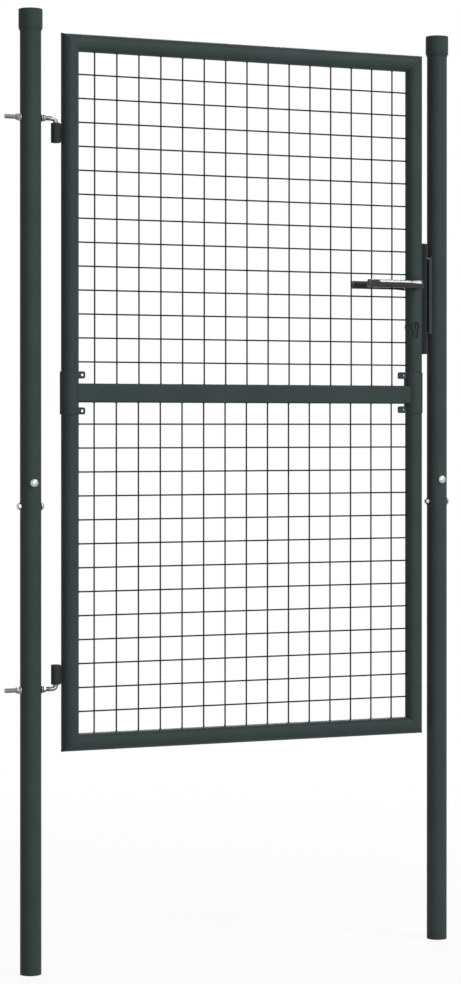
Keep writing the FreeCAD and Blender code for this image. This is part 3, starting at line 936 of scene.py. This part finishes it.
@dataclass
class WirePanel:
    """One welded panel of round wires between the middle rail and an outer one."""

    shop: Paintshop
    node: str
    away: float
    upright_side: float
    pitch: float = 50.0
    margin: float = 25.0
    first_row: float = 65.0
    weld_gap: float = 0.3
    wire_sides: int = 14
    cross_weld: Triple = (2.1, 1.3, 2.1)
    rail_weld: Triple = (2.7, 2.3, 1.8)
    stile_weld: Triple = (1.9, 2.3, 2.7)

    def build(self) -> None:
        """Make the wires, the weld at each crossing and the welds at their ends."""
        draft = MeshDraft()
        solid = Extent.of(self.node)
        radius = solid.half.y / 2
        upright_y = self.upright_side * radius
        left, right = solid.low.x - self.weld_gap, solid.high.x + self.weld_gap
        low, high = solid.low.z - self.weld_gap, solid.high.z + self.weld_gap
        column_steps = int((2 * solid.half.x - 2 * self.margin) / self.pitch)
        xs = [solid.middle.x + self.pitch * (i - column_steps / 2) for i in range(column_steps + 1)]
        first = Extent.of("mid_rail").middle.z + self.away * self.first_row
        room = (solid.high.z - first if self.away > 0 else first - solid.low.z) - self.margin
        heights = [first + self.away * i * self.pitch for i in range(int(room / self.pitch) + 1)]
        for x in xs:
            stand = Stand(Vector((x, upright_y, low)), AHEAD_Z, AHEAD_X)
            draft.turned(stand, [(radius, 0.0), (radius, high - low)], self.wire_sides)
            for end in (low, high):
                draft.blob(Vector((x, upright_y, end)), Vector(self.rail_weld), sides=10, rows=6)
        for height in heights:
            stand = Stand(Vector((left, -upright_y, height)), AHEAD_X, AHEAD_Y)
            draft.turned(stand, [(radius, 0.0), (radius, right - left)], self.wire_sides)
            for end in (left, right):
                draft.blob(Vector((end, -upright_y, height)), Vector(self.stile_weld), sides=10, rows=6)
        for x in xs:
            for height in heights:
                draft.blob(Vector((x, 0.0, height)), Vector(self.cross_weld))
        draft.piece(self.node + "_wires", self.shop.of(Coat.WIRE), Body.LEAF, [self.node])


@dataclass
class LockSet:
    """Lock in the latch stile: case, forend with its screws, bolts and the key cylinder."""

    shop: Paintshop
    head_radius: float = 9.2
    stem_half: float = 5.7
    stem_drop: float = 19.5
    rim_chamfer: float = 0.4
    face_drop: float = 0.3
    mouth_radius: float = 6.95
    plug_radius: float = 6.6
    plug_chamfer: float = 0.2
    groove_depth: float = 0.6
    groove_inner: float = 6.65
    groove_outer: float = 6.85
    slot_half_width: float = 0.9
    slot_half_height: float = 5.2
    slot_depth: float = 2.5
    slot_taper: float = 0.9
    screw_inset: float = 11.0
    screw_radius: float = 4.0
    screw_sink: float = 0.4
    screw_shoulder: float = 0.1
    screw_face: float = 0.3
    screw_edge: float = 0.6
    recess_reach: float = 2.3
    recess_half_width: float = 0.55
    recess_floor: float = 0.9
    recess_taper: float = 0.6

    def build(self) -> None:
        """Dress the case and make the cylinder and the screws."""
        # The case takes the darker coat, which is painted shade.
        self.shop.dress(Coat.CASE, "lock_case")
        self.shop.dress(Coat.FOREND, "forend_plate")
        self.shop.dress(Coat.CYLINDER, "latch_bolt", "dead_bolt")
        self.cylinder()
        self.screws()

    def profile_radius(self, angle: float) -> float:
        """Distance from the head's middle to the outline of the cylinder.

        Args:
            angle: Angle from straight up.

        Returns:
            The distance in millimetres.
        """
        across = abs(math.sin(angle))
        below = -math.cos(angle)
        if below <= 0:
            return self.head_radius
        side = self.stem_half / max(across, LEAST_SHARE)
        if side * below <= self.stem_drop:
            return max(self.head_radius, side)
        round_end = self.stem_half**2 - (self.stem_drop * across) ** 2
        return self.stem_drop * below + math.sqrt(max(round_end, 0.0))

    def slot_radius(self, angle: float) -> float:
        """Distance from the middle to the edge of the key slot, at an angle from straight up."""
        across, along = abs(math.sin(angle)), abs(math.cos(angle))
        return 1 / max(across / self.slot_half_width, along / self.slot_half_height)

    def cylinder(self) -> None:
        """Profile cylinder with a chamfered outline, a turned plug and a key slot at each end."""
        solid = Extent.of("lock_cylinder")
        centre = Vector((solid.middle.x, 0.0, solid.high.z - solid.half.x))
        end = solid.high.y
        plug, chamfer = self.plug_radius, self.plug_chamfer
        face, groove = end - self.face_drop, end - self.groove_depth
        rows: list[tuple[float, RadiusAt]] = [
            (end - self.slot_depth, lambda angle: self.slot_radius(angle) * self.slot_taper),
            (end - chamfer, self.slot_radius), (end, lambda angle: self.slot_radius(angle) + chamfer),
            (end, lambda _a: plug - chamfer), (end - chamfer, lambda _a: plug),
            (groove, lambda _a: self.groove_inner), (groove, lambda _a: self.groove_outer),
            (face, lambda _a: self.mouth_radius),
            (face, lambda angle: self.profile_radius(angle) - self.rim_chamfer),
            (face - self.rim_chamfer, self.profile_radius),
        ]
        draft = MeshDraft()
        both_ends = [(-along, radius_at) for along, radius_at in rows] + rows[::-1]
        draft.shaped(Stand(centre, AHEAD_Y, AHEAD_Z), both_ends, sides=144)
        draft.piece("lock_key_cylinder", self.shop.of(Coat.CYLINDER), Body.LEAF,
                    ["lock_cylinder"], sharp_from=24.0)

    def recess_radius(self, angle: float) -> float:
        """Edge of a screw's crossed recess, at an angle from one arm of the cross."""
        near = min(angle % QUARTER, -angle % QUARTER)
        return min(self.recess_reach, self.recess_half_width / max(math.sin(near), LEAST_SHARE))

    def screws(self) -> None:
        """Countersunk screws with crossed slots in the forend."""
        plate = Extent.of("forend_plate")
        head = self.screw_radius
        rows: Rows = [
            (-self.screw_sink, lambda _a: head), (self.screw_shoulder, lambda _a: head),
            (self.screw_face, lambda _a: head - self.screw_edge), (self.screw_face, self.recess_radius),
            (-self.recess_floor, lambda angle: self.recess_radius(angle) * self.recess_taper),
        ]
        draft = MeshDraft()
        for height in (plate.low.z + self.screw_inset, plate.high.z - self.screw_inset):
            draft.shaped(Stand(Vector((plate.high.x, 0.0, height)), AHEAD_X, AHEAD_Z), rows)
        draft.piece("forend_screws", self.shop.of(Coat.ZINC), Body.LEAF)


@dataclass
class Lever:
    """One lever: a round neck, a bend and a bar that swells towards it."""

    shop: Paintshop
    node: str
    side: float
    depth: float = 10.0
    least_depth: float = 2.0
    root_height: float = 22.0
    bar_height: float = 17.6
    root_flare: float = 36.0
    root_trim: float = 0.7
    root_inset: float = 0.14
    root_lift: float = 0.3
    bend_radius: float = 6.0
    bend_steps: int = 12
    bar_steps: int = 26
    tip_radius: float = 3.0
    tip_steps: int = 6
    tip_trim: float = 0.8
    tip_back: float = 0.6
    tip_flat: float = 14.0
    tip_fade: float = 16.0
    upper_facet: float = 6.0
    lower_facet: float = 5.8
    facet_growth: float = 4.0
    upper_slope: float = 0.43
    lower_slope: float = 0.6
    corner_radii: tuple[float, ...] = (1.6, 3.4, 2.0, 2.0, 2.4, 3.5)
    neck_chamfer: float = 0.4
    neck_overlap: float = 0.8

    def __post_init__(self) -> None:
        """Take the place and the outer sizes from the frame."""
        solid = Extent.of(self.node)
        self.axis = Extent.of("handle_spindle").middle
        self.root_x = solid.high.x
        self.arm = 2 * solid.half.x
        self.neck_radius = self.root_x - self.axis.x
        self.neck_seat, self.outer = sorted((abs(solid.low.y), abs(solid.high.y)))
        self.inner = self.outer - self.depth

    def flare_share(self, distance: float) -> float:
        """Share of the swelling at a distance from the root."""
        return max(0.0, 1 - distance / self.root_flare)

    def height_at(self, distance: float) -> float:
        """Height of the arm at a distance from its root."""
        return self.bar_height + (self.root_height - self.bar_height) * self.flare_share(distance) ** 2

    def facet_share(self, distance: float) -> float:
        """Share of the facets' slope at a distance from the root, which fades to the flat tip."""
        return min(1.0, max(0.0, (self.arm - distance - self.tip_flat) / self.tip_fade))

    def section(self, distance: float, inner: float, outer: float, trim: float = 0.0) -> list[Vector]:
        """Ring across the arm: an upper facet, an upright face, a lower facet and a flat back.

        Args:
            distance: Distance from the root.
            inner: Distance of the near face from the leaf's middle.
            outer: Distance of the upright face.
            trim: How much lower the ring is than the arm.

        Returns:
            Points round the ring.
        """
        half = (self.height_at(distance) - trim) / 2
        upper = self.upper_facet + self.facet_growth * self.flare_share(distance)
        share = self.facet_share(distance)
        least = inner + self.least_depth
        top = max(outer - upper * self.upper_slope * share, least)
        low = max(outer - self.lower_facet * self.lower_slope * share, least)
        corners = [
            (outer, half - upper), (top, half), (inner, half), (inner, -half), (low, -half),
            (outer, self.lower_facet - half),
        ]
        outline = rounded_corners(corners, self.corner_radii)
        return [Vector((self.root_x - distance, self.side * y, self.axis.z + z)) for y, z in outline]

    def build(self) -> None:
        """Make the arm as one smooth skin, with its turned neck."""
        inner, outer, bend, tip = self.inner, self.outer, self.bend_radius, self.tip_radius
        rings = [self.section(0.0, inner + self.root_inset, outer - bend + self.root_lift, self.root_trim)]
        for turn in quarter_angles(self.bend_steps)[1:]:
            edge = outer - bend * (1 - math.sin(turn))
            rings.append(self.section(bend * (1 - math.cos(turn)), inner, edge))
        bar = self.arm - bend - tip
        for i in range(1, self.bar_steps + 1):
            rings.append(self.section(bend + bar * i / self.bar_steps, inner, outer))
        for turn in quarter_angles(self.tip_steps)[1:]:
            trim = tip * (1 - math.cos(turn)) * self.tip_trim
            distance = self.arm - tip * (1 - math.sin(turn))
            rings.append(self.section(distance, inner + trim * self.tip_back, outer - trim, trim))
        draft = MeshDraft()
        draft.skin(rings)
        radius, seat, edge = self.neck_radius, self.neck_seat, self.neck_chamfer
        end = inner + self.neck_overlap
        neck = [(0.0, seat), (radius - edge, seat), (radius, seat + edge), (radius, end), (0.0, end)]
        draft.turned(Stand(Vector((self.axis.x, 0.0, self.axis.z)), AHEAD_Y * self.side, AHEAD_X), neck)
        draft.piece(self.node + "_bar", self.shop.of(Coat.LEVER), Body.HANDLE, [self.node],
                    sharp_from=40.0)


@dataclass
class LeverPair:
    """Two levers on one spindle."""

    shop: Paintshop

    def build(self) -> None:
        """Dress the spindle and make both levers."""
        self.shop.dress(Coat.ZINC, "handle_spindle")
        for node, side in (("front_lever", -1.0), ("back_lever", 1.0)):
            Lever(self.shop, node, side).build()


@dataclass(frozen=True)
class Lamp:
    """Soft lamp with its place and size in metres and its power in watts."""

    name: str
    place: Triple
    size: Pair
    watts: float
    target: Triple = (0.48, 0.0, 1.1)

    def hang(self) -> None:
        """Hang the lamp and turn it towards the middle of the gate."""
        data = bpy.data.lights.new(self.name, "AREA")
        data.shape = "RECTANGLE"
        data.size, data.size_y = self.size
        data.energy = self.watts
        lamp = add_object(self.name, data)
        lamp.location = self.place
        lamp.visible_camera = False
        towards = Vector(self.target) - Vector(self.place)
        lamp.rotation_euler = towards.to_track_quat("-Z", "Y").to_euler()


@dataclass
class Studio:
    """Camera, lamps, white surroundings and the pale floor."""

    focal_pixels: float = 2657.3
    picture_height: float = 984.0
    middle_row: float = 435.7
    camera_place: Triple = (-1.86795, -5.19255, 1.1321)
    yaw_degrees: float = 24.087
    pitch_degrees: float = -0.171
    sensor_width: float = 36.0
    seen_from: float = 0.05
    seen_to: float = 200.0
    low_light: float = 0.12
    floor_grey: float = 0.82
    floor_reach: float = 60.0
    shadow_reach: float = 1.6
    near_glow: float = 0.92
    lamps: tuple[Lamp, ...] = (
        Lamp("key_lamp", place=(5.0, -5.5, 7.6), size=(1.8, 1.8), watts=400.0),
        Lamp("front_lamp", place=(0.6, -7.4, 2.2), size=(4.0, 3.0), watts=205.0),
        Lamp("back_lamp", place=(3.5, 6.6, 5.2), size=(4.5, 3.5), watts=420.0),
    )

    def build(self) -> None:
        """Set up everything round the gate."""
        self.camera()
        self.surroundings()
        self.floor()
        for lamp in self.lamps:
            lamp.hang()

    def camera(self) -> None:
        """Camera at the photograph's place and angle."""
        data = bpy.data.cameras.new("photo_camera")
        data.sensor_width = self.sensor_width
        data.lens = self.focal_pixels * data.sensor_width / self.picture_height
        data.shift_y = (self.middle_row - self.picture_height / 2) / self.picture_height
        data.clip_start, data.clip_end = self.seen_from, self.seen_to
        camera = add_object("photo_camera", data)
        camera.location = self.camera_place
        camera.rotation_euler = (
            math.radians(90.0 + self.pitch_degrees), 0.0, math.radians(-self.yaw_degrees))
        bpy.context.scene.camera = camera

    def seen_or_mirrored(self, tree: Tree) -> Socket:
        """Mask that is one for camera, glossy and transmission rays.

        Args:
            tree: Node tree to add the mask to.

        Returns:
            The mask value.
        """
        path = tree.nodes.new("ShaderNodeLightPath")
        mask = path.outputs["Is Camera Ray"]
        for ray in ("Is Glossy Ray", "Is Transmission Ray"):
            either = add_node(tree, "ShaderNodeMath", {0: mask, 1: path.outputs[ray]})
            either.operation = "MAXIMUM"
            mask = either.outputs[0]
        return mask

    def surroundings(self) -> None:
        """White surroundings that light the gate at a low level."""
        world = bpy.data.worlds.new("white_surroundings")
        world.use_nodes = True
        tree = world.node_tree
        tree.nodes.clear()
        low = add_node(tree, "ShaderNodeBackground", {"Color": WHITE, "Strength": self.low_light})
        white = add_node(tree, "ShaderNodeBackground", {"Color": WHITE, "Strength": 1.0})
        mix = add_node(tree, "ShaderNodeMixShader", {
            "Fac": self.seen_or_mirrored(tree), 1: low.outputs[0], 2: white.outputs[0],
        })
        add_node(tree, "ShaderNodeOutputWorld", {"Surface": mix.outputs[0]})
        bpy.context.scene.world = world

    def floor(self) -> None:
        """White floor that keeps a faint shadow near the gate and fades into the white far away."""
        mesh = bpy.data.meshes.new("studio_floor")
        reach = self.floor_reach
        corners = [(-reach, -reach, 0.0), (reach, -reach, 0.0), (reach, reach, 0.0), (-reach, reach, 0.0)]
        mesh.from_pydata(corners, [], [(0, 1, 2, 3)])
        floor = add_object("studio_floor", mesh)
        material = bpy.data.materials.new("white_floor")
        material.use_nodes = True
        tree = material.node_tree
        tree.nodes.clear()
        matte = add_node(tree, "ShaderNodeBsdfDiffuse", {"Color": shade(WHITE, self.floor_grey)})
        glow = add_node(tree, "ShaderNodeEmission", {"Strength": 1.0})
        place = tree.nodes.new("ShaderNodeTexCoord").outputs["Object"]
        distance = add_node(tree, "ShaderNodeVectorMath", {0: place})
        distance.operation = "LENGTH"
        fade = add_node(tree, "ShaderNodeMapRange", {
            "Value": distance.outputs["Value"], "From Min": self.shadow_reach,
            "From Max": 2 * self.shadow_reach, "To Min": self.near_glow,
        })
        seen = self.seen_or_mirrored(tree)
        share = add_node(tree, "ShaderNodeMath", {0: seen, 1: fade.outputs["Result"]})
        share.operation = "MULTIPLY"
        mix = add_node(tree, "ShaderNodeMixShader", {
            "Fac": share.outputs[0], 1: matte.outputs[0], 2: glow.outputs[0],
        })
        add_node(tree, "ShaderNodeOutputMaterial", {"Surface": mix.outputs[0]})
        mesh.materials.append(material)


def main() -> None:
    """Build the gate's finishes and details, then the studio."""
    logging.basicConfig(level=logging.INFO, format="%(message)s")
    bpy.context.scene.view_settings.view_transform = "Standard"
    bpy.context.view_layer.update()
    shop = Paintshop()
    PostSet(shop).build()
    Hinge(shop, "upper", pin_side=-1.0).build()
    Hinge(shop, "lower", pin_side=1.0).build()
    LeafFrame(shop).build()
    WirePanel(shop, "upper_mesh", away=1.0, upright_side=-1.0).build()
    WirePanel(shop, "lower_mesh", away=-1.0, upright_side=1.0).build()
    LockSet(shop).build()
    LeverPair(shop).build()
    Studio().build()


if __name__ == "__main__":
    main()
